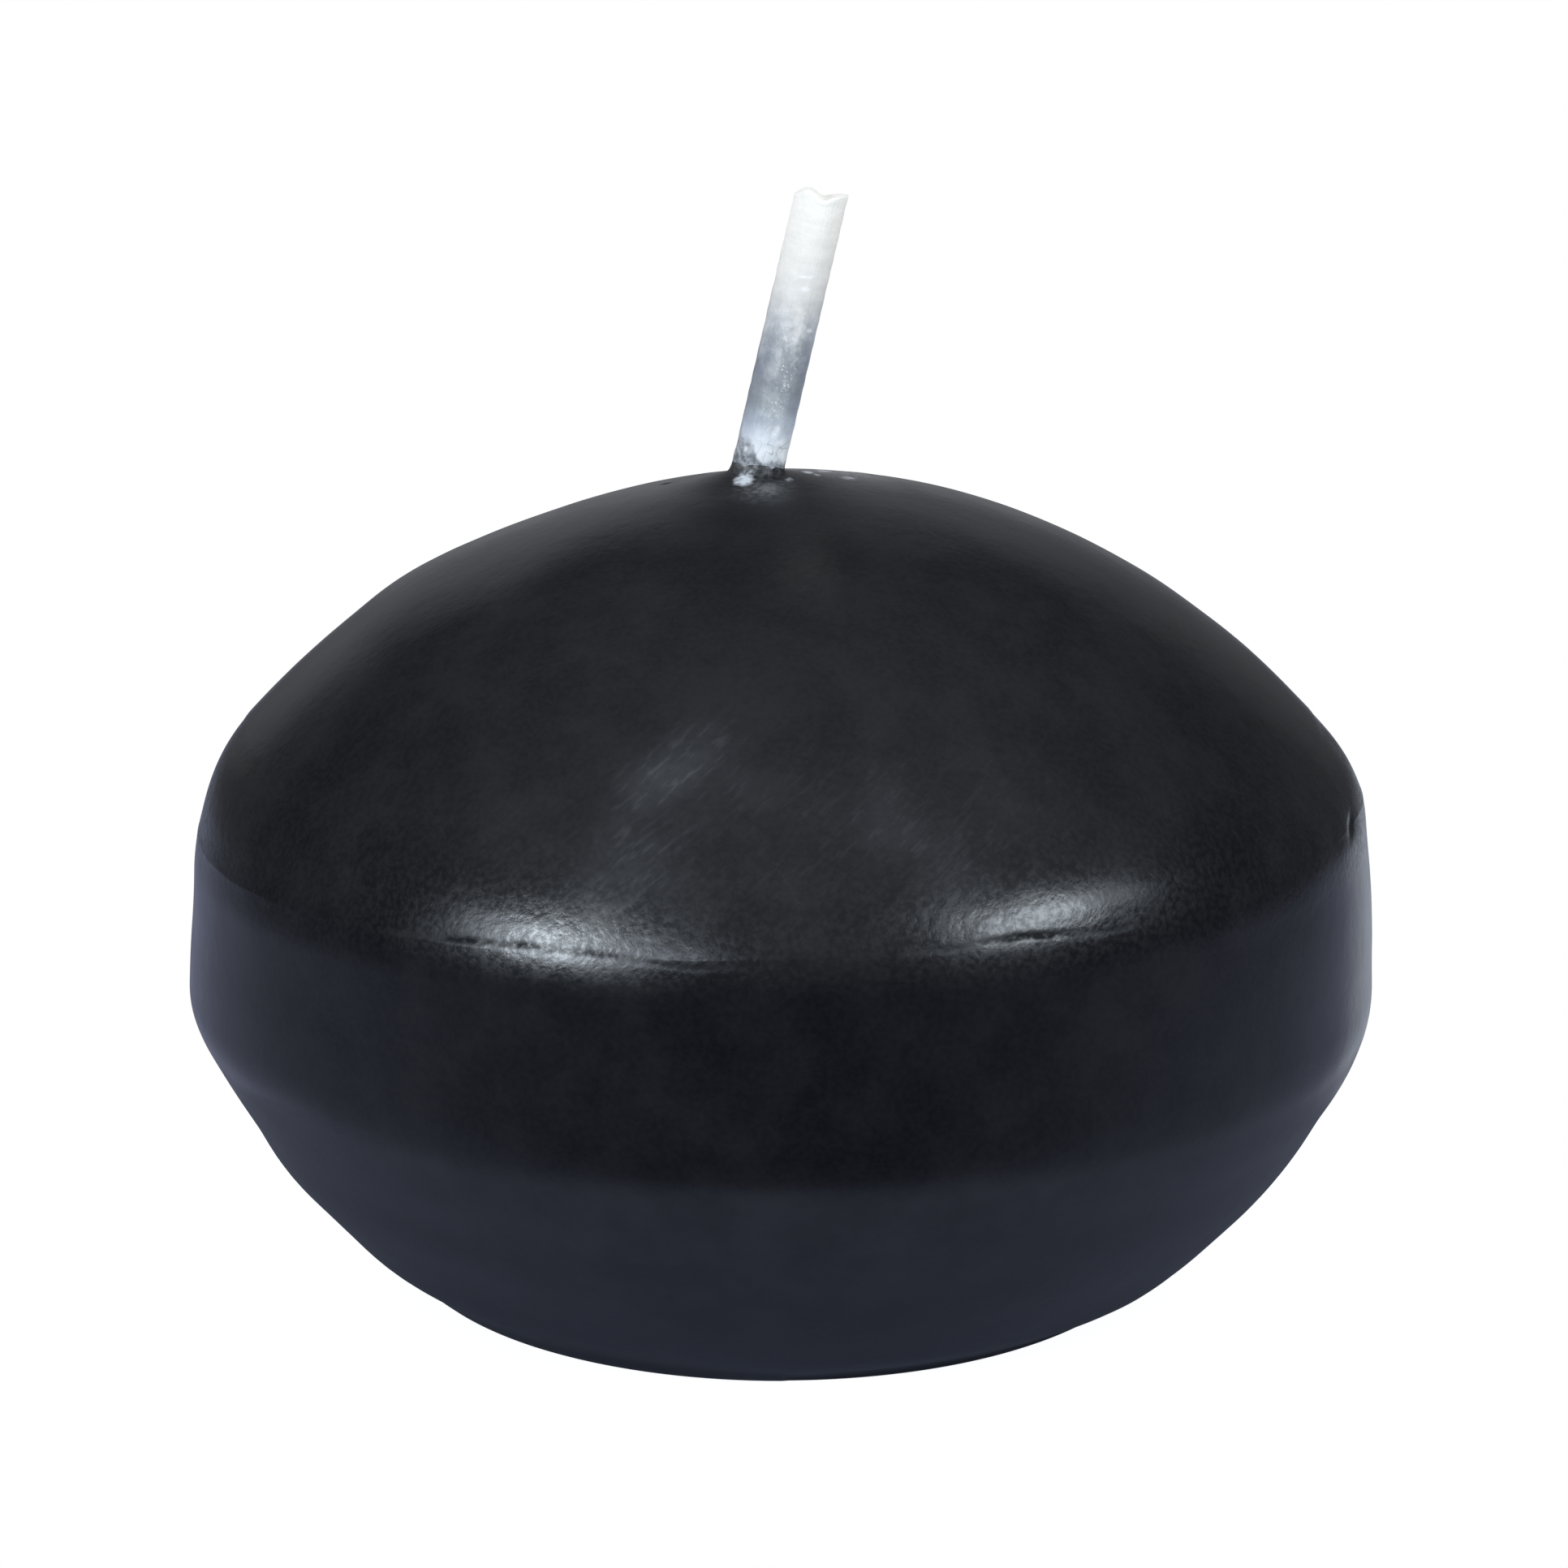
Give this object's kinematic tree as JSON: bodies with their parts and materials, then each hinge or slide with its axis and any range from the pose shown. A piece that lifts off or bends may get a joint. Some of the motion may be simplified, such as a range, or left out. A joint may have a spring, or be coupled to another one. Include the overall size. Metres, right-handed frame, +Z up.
{
  "type": "floating candle",
  "caption": "Round floating candle: a domed black wax body with an upright band and a bowl-shaped underside, and a short leaning white wick.",
  "frame": {"origin": "centre of the flat base, on the surface that the candle stands on", "axes": "+Z up along the axis of the wax body, -Y towards the viewer of the picture, +X to the viewer's right, the side that the wick leans to"},
  "size_m": [0.0758, 0.0758, 0.0695],
  "materials": {
    "black_wax": "satin",
    "waxed_cotton": "satin",
    "tinned_steel": "satin"
  },
  "bodies": {
    "root": {"wax_body": "black_wax", "wick": "waxed_cotton", "wick_sustainer": "tinned_steel"}
  },
  "joints": []
}
